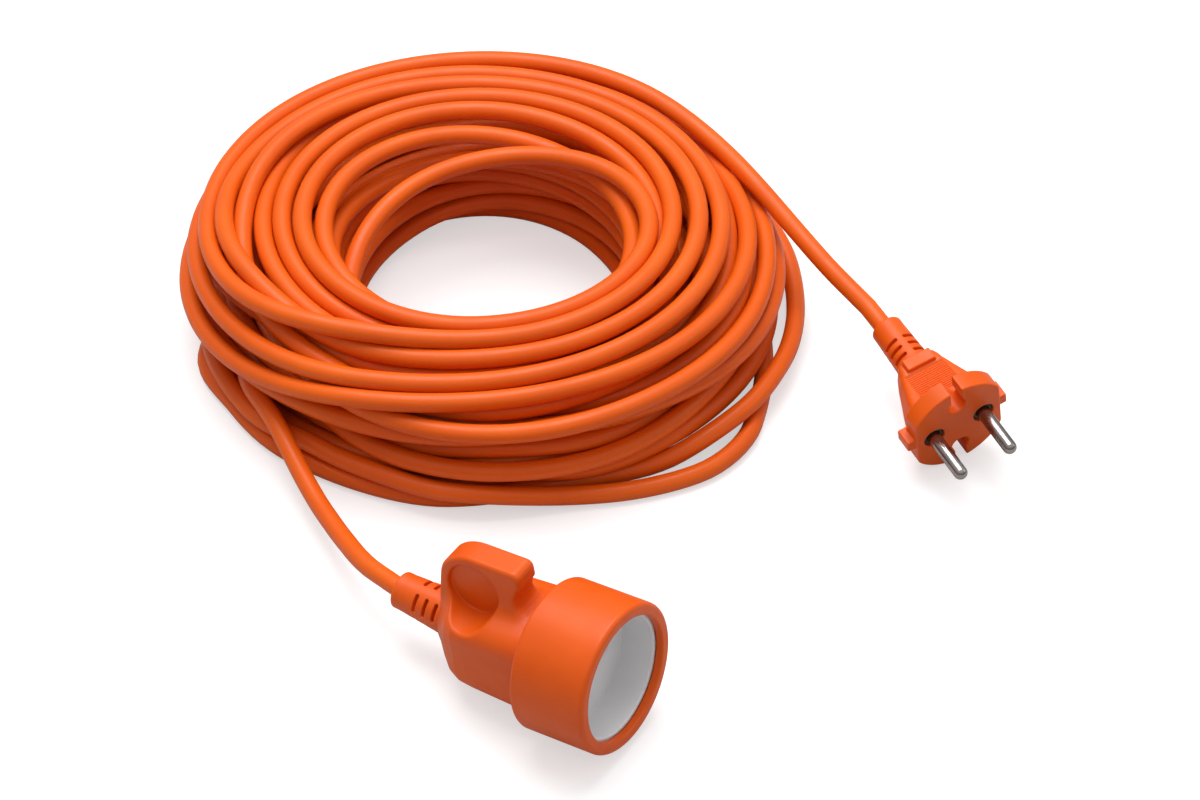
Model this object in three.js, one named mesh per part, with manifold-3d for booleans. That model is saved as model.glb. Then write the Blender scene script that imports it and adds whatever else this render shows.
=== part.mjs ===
// Two-core extension cord, unearthed: a moulded plug and a moulded coupler socket on 20 m of round
// cable, wound into a coil that lies flat. Millimetres, +Z up. The coupler lies along +X, and the
// origin is on the floor, below the middle of the whole cord's box.
import * as THREE from "three";
import { mergeVertices } from "three/addons/utils/BufferGeometryUtils.js";
import Module from "manifold-3d";

const wasm = await Module();
wasm.setup();

// ---- Driving dimensions ----

const GAP = 0.3; // left between pieces that touch
const PIN_SPACING = 19;
const PIN_RADIUS = 2.4;
const PIN_LENGTH = 19;

const CABLE_RADIUS = 3.3;
const CORE_RADIUS = 1.3; // one insulated core
const CONDUCTOR_RADIUS = 0.65; // its bare strands, twisted together
const BORE_RADIUS = CABLE_RADIUS + GAP;

// The coil: a ring whose section is a rounded block, flat where it lies on the floor. The turns lie
// a little off the middle that the cable was wound round, by this shift.
const COIL = { radius: 72.8, halfWidth: 28.3, middle: 26.5, halfHeight: 30, shift: [-5.5, 1.7] };
const COIL_ROUNDING = 2.6; // 2 would make the section an ellipse

// The coupler socket. Its own frame has +X out of the mouth, and x = 0 at the mouth.
const SOCKET = {
  mouth: [147.2, -137.5],
  pitch: 7,
  collarRadius: 25,
  collarLength: 27,
  edge: 2.5,
  lipRadius: 20.8,
  lipDepth: 2.7,
  recessRadius: 20,
  recessDepth: 14.5,
  gripHalfWidth: 16.5,
  gripHalfHeight: 15,
  rear: -66,
};
const INSERT = { radius: 21.5, floor: 3.2, entryRadius: 2.8, chamberRadius: 3.8 };
const INSERT_BLOCK = { rear: -40, halfWidth: 14, halfHeight: 6.5 };
const COVER_THICKNESS = 2.6;
const CONTACT = { radius: 3.5, bore: 2.5, length: 17, crimpRadius: 1.9, crimpLength: 5 };
const SOCKET_RELIEF = { length: 20, front: 7.4, rear: 6.2, slots: 3, pitch: 3.85 };

// The finger hook on the coupler's back: an upright web with a round recess in each side, whose top
// runs on into a hooked tip.
const HOOK = { outer: 15.3, outerX: -50.6, outerZ: 17.9, halfWidth: 5.2 };
const HOOK_TIP = { front: -33.2, neck: -35.4, foot: -28 };
const RECESS = { x: -51, z: 20.3, radius: 9.5, web: 4.2 };

// The plug. Its own frame has +X along the pins, and x = 0 at the face that meets a socket.
const PLUG = {
  face: [173.8, 27.2],
  yaw: -29.4,
  pitch: -6.6,
  roll: 11.7,
  radius: 18.8,
  flat: 16.2,
  thickness: 7,
  rear: -28.2,
};
const KEYHOLE = { radius: 3.2, height: 11, slot: 4.2, depth: 12 };
const LUG = { reach: 3, length: 8.5, front: -1, halfHeight: 2.2 };
const BRIDGE = { front: -4.5, rear: -11, halfWidth: 12.3, halfHeight: 4.4, collarRadius: 3.5 };
const PIN_TAIL = { radius: 1.9, rear: -15 };
const PLUG_RELIEF = { length: 20, front: 6.2, rear: 5.6, slots: 3, pitch: 3.1 };

const SLOT_WIDTH = 1.1; // of the slots that let a strain relief bend
const SLOT_DEPTH = 1.6;
const ROUND = 40; // sides of a large round piece
const SMALL_ROUND = 20; // sides of a small one

// ---- Materials ----

const finish = (color, roughness, metalness) =>
  new THREE.MeshStandardMaterial({ color, roughness, metalness });
const orange = finish(0xf0561c, 0.5, 0);
const white = finish(0xe4e6e8, 0.4, 0);
const black = finish(0x1c1c1e, 0.5, 0);
const brown = finish(0x6b3a1e, 0.5, 0);
const blue = finish(0x1f5fae, 0.5, 0);
const nickel = finish(0xc9c4bb, 0.25, 1);
const brass = finish(0xc9a24a, 0.35, 1);
const copper = finish(0xc4703c, 0.35, 1);

// ---- Shapes ----

// A closed geometry as a manifold-3d solid, for joining and cutting.
function solid(geometry) {
  const bare = geometry.index ? geometry.toNonIndexed() : geometry.clone();
  bare.deleteAttribute("normal");
  bare.deleteAttribute("uv");
  const merged = mergeVertices(bare, 1e-4);
  const mesh = new wasm.Mesh({
    numProp: 3,
    vertProperties: merged.attributes.position.array,
    triVerts: new Uint32Array(merged.index.array),
  });
  return new wasm.Manifold(mesh);
}

function geometryOf(made) {
  const mesh = made.getMesh();
  const geometry = new THREE.BufferGeometry();
  geometry.setAttribute("position", new THREE.BufferAttribute(mesh.vertProperties, 3));
  geometry.setIndex(new THREE.BufferAttribute(mesh.triVerts, 1));
  geometry.computeVertexNormals();
  return geometry;
}

const join = (first, ...others) => others.reduce((all, next) => all.add(next), first);
const cut = (first, ...others) => others.reduce((all, next) => all.subtract(next), first);
const largest = (made) => made.decompose().sort((a, b) => b.volume() - a.volume())[0];

// A body of revolution round the X axis, from [x, radius] pairs that run from its rear to its front.
function turned(profile, sides = SMALL_ROUND) {
  const points = profile.map(([x, radius]) => new THREE.Vector2(radius, x));
  return new THREE.LatheGeometry(points, sides).rotateZ(-Math.PI / 2);
}

// A plain round bar along X from x0 to x1.
const bar = (x0, x1, radius, sides = SMALL_ROUND) =>
  turned([[x0, 0], [x0, radius], [x1, radius], [x1, 0]], sides);

function box(x0, x1, y0, y1, z0, z1) {
  const block = new THREE.BoxGeometry(x1 - x0, y1 - y0, z1 - z0);
  return block.translate((x0 + x1) / 2, (y0 + y1) / 2, (z0 + z1) / 2);
}

const shape = (points) => new THREE.Shape(points.map(([u, v]) => new THREE.Vector2(u, v)));

// An outline in the YZ plane, drawn out along X from x0 to x1.
function drawnAlongX(outline, x0, x1) {
  const options = { depth: x1 - x0, bevelEnabled: false, curveSegments: SMALL_ROUND };
  const turn = new THREE.Matrix4().makeBasis(
    new THREE.Vector3(0, 1, 0),
    new THREE.Vector3(0, 0, 1),
    new THREE.Vector3(1, 0, 0),
  );
  return new THREE.ExtrudeGeometry(outline, options).applyMatrix4(turn).translate(x0, 0, 0);
}

// An outline in the XY plane, drawn out from -half to +half in Z.
const drawnAlongZ = (outline, half) =>
  new THREE.ExtrudeGeometry(outline, { depth: 2 * half, bevelEnabled: false }).translate(0, 0, -half);

// A rounded rectangle in the YZ plane at x, as points that run anticlockwise seen from +X.
function section({ x, halfWidth, halfHeight, corner }) {
  const steps = 4;
  const centres = [[1, 1], [-1, 1], [-1, -1], [1, -1]];
  return centres.flatMap(([sy, sz], quarter) =>
    Array.from({ length: steps + 1 }, (_, i) => {
      const angle = (quarter + i / steps) * (Math.PI / 2);
      const y = sy * (halfWidth - corner) + corner * Math.cos(angle);
      const z = sz * (halfHeight - corner) + corner * Math.sin(angle);
      return new THREE.Vector3(x, y, z);
    }),
  );
}

// A closed skin through a row of sections, from the lowest x to the highest.
function lofted(stations) {
  const rings = stations.map(section);
  const count = rings[0].length;
  const middle = ({ x }) => new THREE.Vector3(x, 0, 0);
  const corners = [];
  for (let j = 0; j < count; j++) {
    const k = (j + 1) % count;
    for (let i = 0; i + 1 < rings.length; i++) {
      const [a, b] = [rings[i], rings[i + 1]];
      corners.push(a[j], a[k], b[j], a[k], b[k], b[j]);
    }
    corners.push(middle(stations[0]), rings[0][k], rings[0][j]);
    corners.push(middle(stations.at(-1)), rings.at(-1)[j], rings.at(-1)[k]);
  }
  return new THREE.BufferGeometry().setFromPoints(corners);
}

// A round tube through a list of points.
function tube(points, radius, steps, sides = 10) {
  const route = new THREE.CatmullRomCurve3(points.map((p) => new THREE.Vector3(...p)));
  const circle = new THREE.Shape().absarc(0, 0, radius, 0, 2 * Math.PI);
  const options = { steps, extrudePath: route, curveSegments: sides / 2 };
  return new THREE.ExtrudeGeometry(circle, options);
}

function piece(name, geometry, material) {
  const mesh = new THREE.Mesh(geometry, material);
  mesh.name = name;
  return mesh;
}

// Lets a group down until its lowest point is on the floor.
function stand(group) {
  group.updateMatrixWorld(true);
  group.position.z -= new THREE.Box3().setFromObject(group, true).min.z;
  group.updateMatrixWorld(true);
}

// ---- Strain reliefs: tapered sleeves with short cross slots in four rows ----

function strainRelief({ length, front, rear, slots, pitch }) {
  const collar = 4; // plain ring behind the slots
  const profile = [
    [-length, BORE_RADIUS],
    [-length, rear - 1],
    [-length + 1, rear],
    [-length + collar, rear],
    [0, front],
    [0, BORE_RADIUS],
    [-length, BORE_RADIUS],
  ];
  let sleeve = solid(turned(profile, 24));
  for (let row = 0; row < 4; row++) {
    for (let i = 0; i < slots; i++) {
      const x = -length + collar + 1 + i * pitch;
      const reach = rear - SLOT_DEPTH;
      const groove = box(x, x + SLOT_WIDTH, reach, front + 1, -0.5 * rear, 0.5 * rear);
      sleeve = sleeve.subtract(solid(groove.rotateX((row + 0.5) * (Math.PI / 2))));
    }
  }
  return geometryOf(sleeve);
}

// ---- The coupler socket ----

function collarAndGrip() {
  const { collarRadius: r, collarLength: length, edge, gripHalfWidth, gripHalfHeight, rear } = SOCKET;
  const step = edge * (1 - Math.SQRT1_2);
  const collar = turned(
    [
      [-length, 0],
      [-length, r - edge],
      [-length + step, r - step],
      [-length + edge, r],
      [-edge, r],
      [-step, r - step],
      [0, r - edge],
      [0, 0],
    ],
    ROUND,
  );
  const grip = lofted([
    { x: rear - 3, halfWidth: 7.6, halfHeight: 7.6, corner: 7.5 },
    { x: rear + 4, halfWidth: 11.8, halfHeight: 11.4, corner: 8 },
    { x: rear + 10.5, halfWidth: gripHalfWidth - 0.2, halfHeight: gripHalfHeight, corner: 8 },
    { x: -length + 1, halfWidth: gripHalfWidth + 1, halfHeight: gripHalfHeight + 1, corner: 8 },
  ]);
  return join(solid(collar), solid(grip));
}

function fingerHook() {
  const { outer, outerX, outerZ, halfWidth } = HOOK;
  const { front, neck, foot } = HOOK_TIP;
  const top = outerZ + outer;
  const bevel = 1.2;
  const side = new THREE.Shape();
  side.moveTo(foot, 8);
  side.lineTo(foot, 14);
  side.quadraticCurveTo(neck, 15.5, neck, top - 7);
  side.lineTo(front, top - 3);
  side.lineTo(front, top - 1.5);
  side.lineTo(front - 1.5, top);
  side.absarc(outerX, outerZ, outer, Math.PI / 2, Math.PI);
  side.lineTo(outerX - outer, 12);
  side.lineTo(outerX - outer + 4, 6);
  const options = {
    depth: 2 * (halfWidth - bevel),
    bevelSize: bevel,
    bevelThickness: bevel,
    bevelOffset: -bevel,
    bevelSegments: 1,
    curveSegments: 8,
  };
  const upright = new THREE.ExtrudeGeometry(side, options).rotateX(Math.PI / 2);
  return solid(upright.translate(0, halfWidth - bevel, 0));
}

// The room inside the overmould: the insert's pocket, its block, the cores and the cable's end.
function socketCavity() {
  const { lipRadius, lipDepth, recessDepth, rear } = SOCKET;
  const back = -recessDepth - INSERT.floor - GAP;
  const blockRear = INSERT_BLOCK.rear - COVER_THICKNESS - 2 * GAP;
  const [y, z] = [INSERT_BLOCK.halfWidth + GAP, INSERT_BLOCK.halfHeight + GAP];
  const coreRoom = shape([
    [blockRear + 1, -12],
    [blockRear + 1, 12],
    [blockRear - 5, 12],
    [rear + 4, 4.5],
    [rear + 4, -4.5],
    [blockRear - 5, -12],
  ]);
  return join(
    solid(bar(-lipDepth - 1, 1, lipRadius, ROUND)),
    solid(bar(back, -lipDepth, INSERT.radius + GAP, ROUND)),
    solid(box(blockRear, back + 1, -y, y, -z, z)),
    solid(drawnAlongZ(coreRoom, 3)),
    solid(bar(rear - 5, rear + 5, BORE_RADIUS + 0.6)),
  );
}

function socketBody(reliefPlace) {
  const { gripHalfWidth, rear } = SOCKET;
  const recesses = [-1, 1].map((side) => {
    const recess = bar(RECESS.web, RECESS.web + 20, RECESS.radius, 32);
    return solid(recess.rotateZ((side * Math.PI) / 2).translate(RECESS.x, 0, RECESS.z));
  });
  const behind = box(-20, GAP, -gripHalfWidth, gripHalfWidth, -20, 11).applyMatrix4(reliefPlace);
  const shell = join(collarAndGrip(), fingerHook());
  return geometryOf(largest(cut(shell, socketCavity(), ...recesses, solid(behind))));
}

function socketInsert() {
  const { lipDepth, recessRadius, recessDepth } = SOCKET;
  const { radius, floor, entryRadius, chamberRadius } = INSERT;
  const { rear, halfWidth, halfHeight } = INSERT_BLOCK;
  const back = -recessDepth - floor;
  const cup = turned(
    [
      [back, 0],
      [back, radius],
      [-lipDepth - GAP, radius],
      [-lipDepth - GAP, recessRadius],
      [-recessDepth, recessRadius],
      [-recessDepth, 0],
    ],
    ROUND,
  );
  const block = box(rear, back + 1, -halfWidth, halfWidth, -halfHeight, halfHeight);
  let insert = join(solid(cup), solid(block));
  for (const side of [-1, 1]) {
    const y = (side * PIN_SPACING) / 2;
    const entry = bar(back - 2, -recessDepth + 1, entryRadius).translate(0, y, 0);
    const chamber = bar(rear - 1, back, chamberRadius).translate(0, y, 0);
    insert = cut(insert, solid(entry), solid(chamber));
  }
  return geometryOf(insert);
}

function insertCover() {
  const { halfWidth, halfHeight, rear } = INSERT_BLOCK;
  const front = rear - GAP;
  let cover = solid(box(front - COVER_THICKNESS, front, -halfWidth, halfWidth, -halfHeight, halfHeight));
  for (const side of [-1, 1]) {
    const hole = bar(front - 4, front + 1, CONTACT.crimpRadius + GAP);
    cover = cover.subtract(solid(hole.translate(0, (side * PIN_SPACING) / 2, 0)));
  }
  return geometryOf(cover);
}

// A slotted sleeve that grips a pin, with the barrel behind it that is crimped on the core.
function contact(front) {
  const { radius, bore, length, crimpRadius, crimpLength } = CONTACT;
  const back = front - length;
  const sleeve = solid(
    turned([
      [back - crimpLength, CONDUCTOR_RADIUS + GAP],
      [back - crimpLength, crimpRadius],
      [back, crimpRadius],
      [back, radius],
      [front, radius],
      [front, bore],
      [back + 2, bore],
      [back + 2, 0],
      [back - crimpLength + 4, 0],
      [back - crimpLength + 4, CONDUCTOR_RADIUS + GAP],
      [back - crimpLength, CONDUCTOR_RADIUS + GAP],
    ]),
  );
  const slot = box(front - 0.6 * length, front + 1, -0.4, 0.4, -radius - 1, radius + 1);
  return geometryOf(sleeve.subtract(solid(slot)));
}

// The bared end of a core, and the insulated core from there to the cable's end.
function conductor(front, rear) {
  return bar(rear, front, CONDUCTOR_RADIUS, 12);
}

function core(front, rear, rearSpacing) {
  const y = PIN_SPACING / 2;
  const run = front - rear;
  const points = [
    [rear, rearSpacing / 2, 0],
    [rear + 0.08 * run, rearSpacing / 2, 0],
    [rear + 0.5 * run, (y + rearSpacing / 2) / 2, 0],
    [front - 0.06 * run, y, 0],
    [front, y, 0],
  ];
  return tube(points, CORE_RADIUS, 10);
}

function makeSocket() {
  const { mouth, pitch, rear, recessDepth } = SOCKET;
  const group = new THREE.Group();
  group.position.set(mouth[0], mouth[1], 0);
  group.rotation.y = -THREE.MathUtils.degToRad(pitch);

  // The strain relief is level, so it is turned back by the coupler's pitch.
  const sleeve = new THREE.Group();
  sleeve.position.x = rear;
  sleeve.rotation.y = THREE.MathUtils.degToRad(pitch);
  sleeve.updateMatrix();
  sleeve.add(piece("socket_strain_relief", strainRelief(SOCKET_RELIEF), orange));

  group.add(sleeve);
  group.add(piece("socket_body", socketBody(sleeve.matrix), orange));
  group.add(piece("socket_insert", socketInsert(), white));
  group.add(piece("socket_insert_cover", insertCover(), white));

  const front = -recessDepth - INSERT.floor - 0.5;
  const crimpEnd = front - CONTACT.length - CONTACT.crimpLength;
  const coreFront = crimpEnd - 1;
  const sides = [["left", "brown", brown, 1], ["right", "blue", blue, -1]];
  for (const [side, colour, insulation, sign] of sides) {
    const wire = core(coreFront, rear + 3, 2 * CORE_RADIUS + GAP);
    const strands = conductor(crimpEnd + 3.5, coreFront + GAP);
    wire.rotateX(sign > 0 ? 0 : Math.PI);
    strands.translate(0, (sign * PIN_SPACING) / 2, 0);
    const sleeveContact = contact(front).translate(0, (sign * PIN_SPACING) / 2, 0);
    group.add(piece(`socket_contact_${side}`, sleeveContact, brass));
    group.add(piece(`socket_core_${colour}`, wire, insulation));
    group.add(piece(`socket_conductor_${colour}`, strands, copper));
  }
  stand(group);
  const exit = sleeve.localToWorld(new THREE.Vector3(-SOCKET_RELIEF.length, 0, 0));
  const cableEnd = sleeve.localToWorld(new THREE.Vector3(2, 0, 0));
  return { group, exit, cableEnd };
}

// ---- The plug ----

// The round face, cut flat on both sides.
function faceOutline() {
  const { radius, flat } = PLUG;
  const corner = Math.acos(flat / radius);
  const outline = new THREE.Shape();
  outline.absarc(0, 0, radius, corner, Math.PI - corner);
  outline.absarc(0, 0, radius, Math.PI + corner, 2 * Math.PI - corner);
  return outline;
}

function keyhole(side) {
  const { radius, height, slot, depth } = KEYHOLE;
  const pocket = bar(-depth, 1, radius).translate(0, 0, side * height);
  const [low, high] = side > 0 ? [height, PLUG.radius + 1] : [-PLUG.radius - 1, -height];
  return join(solid(pocket), solid(box(-depth, 1, -slot / 2, slot / 2, low, high)));
}

function plugCavity() {
  const { front, rear, halfWidth, halfHeight, collarRadius } = BRIDGE;
  const [y, z] = [halfWidth + GAP, halfHeight + GAP];
  const side = [[rear + 0.5, 11.6], [PIN_TAIL.rear - 2, 11.4], [PLUG.rear + 1.8, 4.8]];
  const coreRoom = shape([...side, ...side.map(([x, y]) => [x, -y]).reverse()]);
  const collars = [-1, 1].map((side) =>
    solid(bar(front - 1, 1, collarRadius + GAP).translate(0, (side * PIN_SPACING) / 2, 0)),
  );
  return join(
    solid(box(rear - GAP, front + GAP, -y, y, -z, z)),
    solid(drawnAlongZ(coreRoom, 2.4)),
    solid(bar(PLUG.rear - 1, PLUG.rear + 4, BORE_RADIUS)),
    ...collars,
  );
}

function plugBody() {
  const { flat, thickness, rear } = PLUG;
  const grip = lofted([
    { x: rear, halfWidth: 6.6, halfHeight: 6.6, corner: 6.5 },
    { x: rear + 1.5, halfWidth: 8, halfHeight: 7.2, corner: 5.5 },
    { x: rear + 4.5, halfWidth: 9.4, halfHeight: 8, corner: 4.5 },
    { x: rear + 5, halfWidth: 9.6, halfHeight: 6.9, corner: 4.5 },
    { x: -thickness + 1, halfWidth: flat - 0.4, halfHeight: 9, corner: 6 },
  ]);
  const lugs = [-1, 1].map((side) => {
    const [inner, outer] = [side * (flat - 2), side * (flat + LUG.reach)];
    const y = [Math.min(inner, outer), Math.max(inner, outer)];
    return solid(box(LUG.front - LUG.length, LUG.front, ...y, -LUG.halfHeight, LUG.halfHeight));
  });
  const disc = solid(drawnAlongX(faceOutline(), -thickness, 0));
  const whole = join(disc, solid(grip), ...lugs);
  return geometryOf(largest(cut(whole, keyhole(1), keyhole(-1), plugCavity())));
}

// The hard carrier that holds both pins at their spacing. Its collars show round the pins.
function plugBridge() {
  const { front, rear, halfWidth, halfHeight, collarRadius } = BRIDGE;
  let bridge = solid(box(rear, front, -halfWidth, halfWidth, -halfHeight, halfHeight));
  for (const side of [-1, 1]) {
    const y = (side * PIN_SPACING) / 2;
    bridge = bridge.add(solid(bar(front - 1, -0.7, collarRadius).translate(0, y, 0)));
    bridge = bridge.subtract(solid(bar(rear - 1, 1, PIN_RADIUS + GAP).translate(0, y, 0)));
  }
  return geometryOf(bridge);
}

// A pin with a rounded tip, and the hollow tail behind it that is crimped on the core.
function pin() {
  const { radius, rear } = PIN_TAIL;
  const tip = Array.from({ length: 6 }, (_, i) => {
    const angle = (i / 5) * (Math.PI / 2);
    const nose = PIN_LENGTH - PIN_RADIUS;
    return [nose + PIN_RADIUS * Math.sin(angle), i === 5 ? 0 : PIN_RADIUS * Math.cos(angle)];
  });
  return turned([
    [rear + 4, 0],
    [rear + 4, CONDUCTOR_RADIUS + GAP],
    [rear, CONDUCTOR_RADIUS + GAP],
    [rear, radius],
    [BRIDGE.rear, radius],
    [BRIDGE.rear, PIN_RADIUS],
    ...tip,
  ]);
}

function makePlug() {
  const { face, yaw, pitch, roll, rear } = PLUG;
  const radians = THREE.MathUtils.degToRad;
  const group = new THREE.Group();
  group.position.set(face[0], face[1], 0);
  group.rotation.set(radians(roll), radians(-pitch), radians(yaw), "ZYX");
  group.add(piece("plug_body", plugBody(), orange));
  group.add(piece("plug_bridge", plugBridge(), black));
  const sleeve = strainRelief(PLUG_RELIEF).translate(rear - GAP, 0, 0);
  group.add(piece("plug_strain_relief", sleeve, orange));
  const sides = [["left", "brown", brown, 1], ["right", "blue", blue, -1]];
  for (const [side, colour, insulation, sign] of sides) {
    const y = (sign * PIN_SPACING) / 2;
    const wire = core(PIN_TAIL.rear - 1, rear + 0.5, 2 * CORE_RADIUS + GAP);
    wire.rotateX(sign > 0 ? 0 : Math.PI);
    const strands = conductor(PIN_TAIL.rear + 3.5, PIN_TAIL.rear - 1 + GAP).translate(0, y, 0);
    group.add(piece(`plug_pin_${side}`, pin().translate(0, y, 0), nickel));
    group.add(piece(`plug_core_${colour}`, wire, insulation));
    group.add(piece(`plug_conductor_${colour}`, strands, copper));
  }
  stand(group);
  const exit = group.localToWorld(new THREE.Vector3(rear - GAP - PLUG_RELIEF.length, 0, 0));
  const cableEnd = group.localToWorld(new THREE.Vector3(rear, 0, 0));
  return { group, exit, cableEnd };
}

// ---- The cable ----

// The coil's outline, grown by a margin. Its section is a superellipse, cut flat at the floor.
function coilRing(margin) {
  const { radius, halfWidth, middle, halfHeight, shift } = COIL;
  const [wide, high] = [halfWidth + margin, halfHeight + margin];
  const bulge = (value) => Math.sign(value) * Math.abs(value) ** (2 / COIL_ROUNDING);
  const start = -Math.asin(((middle + margin) / high) ** (COIL_ROUNDING / 2));
  const steps = 22;
  const profile = Array.from({ length: steps + 1 }, (_, i) => {
    const angle = start + (i / steps) * (Math.PI - 2 * start);
    const [across, up] = [bulge(Math.cos(angle)), bulge(Math.sin(angle))];
    return new THREE.Vector2(radius + wide * across, middle + high * up);
  });
  profile.push(profile[0].clone());
  return new THREE.LatheGeometry(profile, 64).rotateX(Math.PI / 2).translate(...shift, 0);
}

// A run of cable outside the coil: a tube through its points, trimmed back to the coil's surface.
function freeRun(points, steps) {
  return geometryOf(largest(solid(tube(points, CABLE_RADIUS, steps)).subtract(solid(coilRing(GAP)))));
}

// The routes are in millimetres from the middle that the cable was wound round: x, y, and the height
// of the cable's middle. From the coupler the cable goes in over the two lowest turns.
const SOCKET_TAIL = [
  [48.5, -134.5, 17.8],
  [32, -125.6, 13.6],
  [17.2, -117.2, 11.4],
  [3.9, -109.3, 11.4],
  [-7.2, -102.5, 13.5],
  [-16.4, -97, 16.4],
  [-26, -91.2, 17.2],
  [-35.8, -86.6, 17.2],
];
// From the top of the coil the other end comes down to the plug.
const PLUG_TAIL = [
  [11.6, 89.2, 48],
  [34.9, 85.7, 45],
  [57, 79, 41],
  [82, 69.2, 35.5],
  [104.8, 60.3, 30],
  [121, 55.5, 26.2],
];
// Two low turns stand off the coil. The one at the side of the plug passes over the one in front.
const SIDE_TURN = [
  [44.5, 99.7, 8.5],
  [59, 92.6, 9],
  [67, 87.7, 9],
  [78, 78, 7.5],
  [88.4, 64.6, 6.8],
  [93.6, 56, 7.3],
  [100.4, 40.8, 8.9],
  [104.5, 22.9, 10.2],
  [105.2, 4.9, 10.3],
  [102.8, -7.5, 9.8],
  [98.4, -18, 7.5],
  [94, -27.2, 5],
  [87.2, -35.2, 3.6],
  [75.9, -47.4, 3.4],
];
const FRONT_TURN = [
  [70.2, 65.5, 3.4],
  [86.1, 45.8, 3.4],
  [98.5, 26.4, 3.4],
  [106.4, 7.9, 3.4],
  [109.1, -1.2, 3.4],
  [109.1, -14.6, 3.4],
  [104.8, -26.7, 3.4],
  [97.7, -37.2, 3.4],
  [87, -48.9, 3.5],
  [75.6, -59.4, 4.5],
  [61.6, -72.8, 8],
  [52.6, -79.9, 9.6],
];

function makeCable(socket, plug) {
  const group = new THREE.Group();
  group.add(piece("cable_coil", coilRing(0), orange));
  const socketTail = [socket.cableEnd.toArray(), socket.exit.toArray(), ...SOCKET_TAIL];
  const plugTail = [...PLUG_TAIL, plug.exit.toArray(), plug.cableEnd.toArray()];
  group.add(piece("cable_tail_socket", freeRun(socketTail, 14), orange));
  group.add(piece("cable_tail_plug", freeRun(plugTail, 14), orange));
  group.add(piece("cable_turn_side", freeRun(SIDE_TURN, 16), orange));
  group.add(piece("cable_turn_front", freeRun(FRONT_TURN, 16), orange));
  return group;
}

// ---- The whole cord ----

const socket = makeSocket();
const plug = makePlug();
const cord = new THREE.Group();
cord.add(makeCable(socket, plug), socket.group, plug.group);
cord.updateMatrixWorld(true);
const extent = new THREE.Box3().setFromObject(cord, true);
const middle = extent.getCenter(new THREE.Vector3());
cord.position.set(-middle.x, -middle.y, -extent.min.z);

const root = new THREE.Group();
root.add(cord);

export default root;
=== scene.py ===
"""The looks of the extension cord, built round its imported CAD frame. Metres, +Z up."""

import math

import bpy
import numpy as np
from mathutils import Matrix, Vector


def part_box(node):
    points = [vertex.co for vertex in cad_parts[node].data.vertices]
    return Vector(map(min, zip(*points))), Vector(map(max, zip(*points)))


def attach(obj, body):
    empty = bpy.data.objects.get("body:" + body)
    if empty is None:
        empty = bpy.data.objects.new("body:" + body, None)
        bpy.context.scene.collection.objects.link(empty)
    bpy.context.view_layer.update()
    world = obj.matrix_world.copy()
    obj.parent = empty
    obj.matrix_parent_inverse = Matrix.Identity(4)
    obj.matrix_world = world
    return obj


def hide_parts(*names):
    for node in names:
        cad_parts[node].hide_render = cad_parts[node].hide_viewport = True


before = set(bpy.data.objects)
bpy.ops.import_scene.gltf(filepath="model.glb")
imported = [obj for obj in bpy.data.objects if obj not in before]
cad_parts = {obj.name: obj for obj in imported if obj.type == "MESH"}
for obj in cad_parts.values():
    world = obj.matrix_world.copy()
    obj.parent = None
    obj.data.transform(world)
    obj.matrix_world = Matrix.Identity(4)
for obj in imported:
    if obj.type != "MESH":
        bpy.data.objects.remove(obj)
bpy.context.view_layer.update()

TAU = 2 * math.pi

# ---- Camera ----

VIEW_AZIMUTH = math.radians(33)
VIEW_TILT = math.radians(43)
CAMERA_DISTANCE = 1.241
CAMERA_LENS = 108
SENSOR_WIDTH = 36
# What the camera looks at: right and away from the coil's middle, as the camera sees it.
CAMERA_TARGET = (0.0404, -0.0394, 0.0)

# ---- The cable ----

CABLE_DIAMETER = 0.0066
CABLE_RADIUS = CABLE_DIAMETER / 2
COIL_SHIFT = (-0.0055, 0.0017)  # the coil's outline stands off the middle it was wound round

# Points of the cable's middle, from the coil's middle: x, y, and height over the floor.
SOCKET_TAIL = [
    (0.0485, -0.1345, 0.0178),
    (0.0320, -0.1256, 0.0136),
    (0.0172, -0.1172, 0.0114),
    (0.0039, -0.1093, 0.0114),
    (-0.0072, -0.1025, 0.0135),
    (-0.0164, -0.0970, 0.0164),
    (-0.0260, -0.0912, 0.0172),
    (-0.0358, -0.0866, 0.0172),
]
PLUG_TAIL = [
    (0.0116, 0.0892, 0.0480),
    (0.0349, 0.0857, 0.0450),
    (0.0570, 0.0790, 0.0410),
    (0.0820, 0.0692, 0.0355),
    (0.1048, 0.0603, 0.0300),
    (0.1210, 0.0555, 0.0262),
]
# The low turn that stands off the coil at the plug's side, and goes on along the floor.
SIDE_TURN = [
    (0.0445, 0.0997, 0.0085),
    (0.0590, 0.0926, 0.0090),
    (0.0670, 0.0877, 0.0090),
    (0.0780, 0.0780, 0.0075),
    (0.0884, 0.0646, 0.0068),
    (0.0936, 0.0560, 0.0073),
    (0.1004, 0.0408, 0.0089),
    (0.1045, 0.0229, 0.0102),
    (0.1052, 0.0049, 0.0103),
    (0.1028, -0.0075, 0.0098),
    (0.0984, -0.0180, 0.0075),
    (0.0940, -0.0272, 0.0050),
    (0.0872, -0.0352, 0.0036),
    (0.0759, -0.0474, 0.0034),
    (0.0652, -0.0587, 0.0034),
    (0.0581, -0.0668, 0.0034),
    (0.0490, -0.0755, 0.0034),
    (0.0345, -0.0853, 0.0034),
    (0.0176, -0.0906, 0.0034),
    (-0.0033, -0.0931, 0.0034),
    (-0.0246, -0.0920, 0.0034),
    (-0.0480, -0.0831, 0.0034),
    (-0.0708, -0.0684, 0.0034),
]
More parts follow.
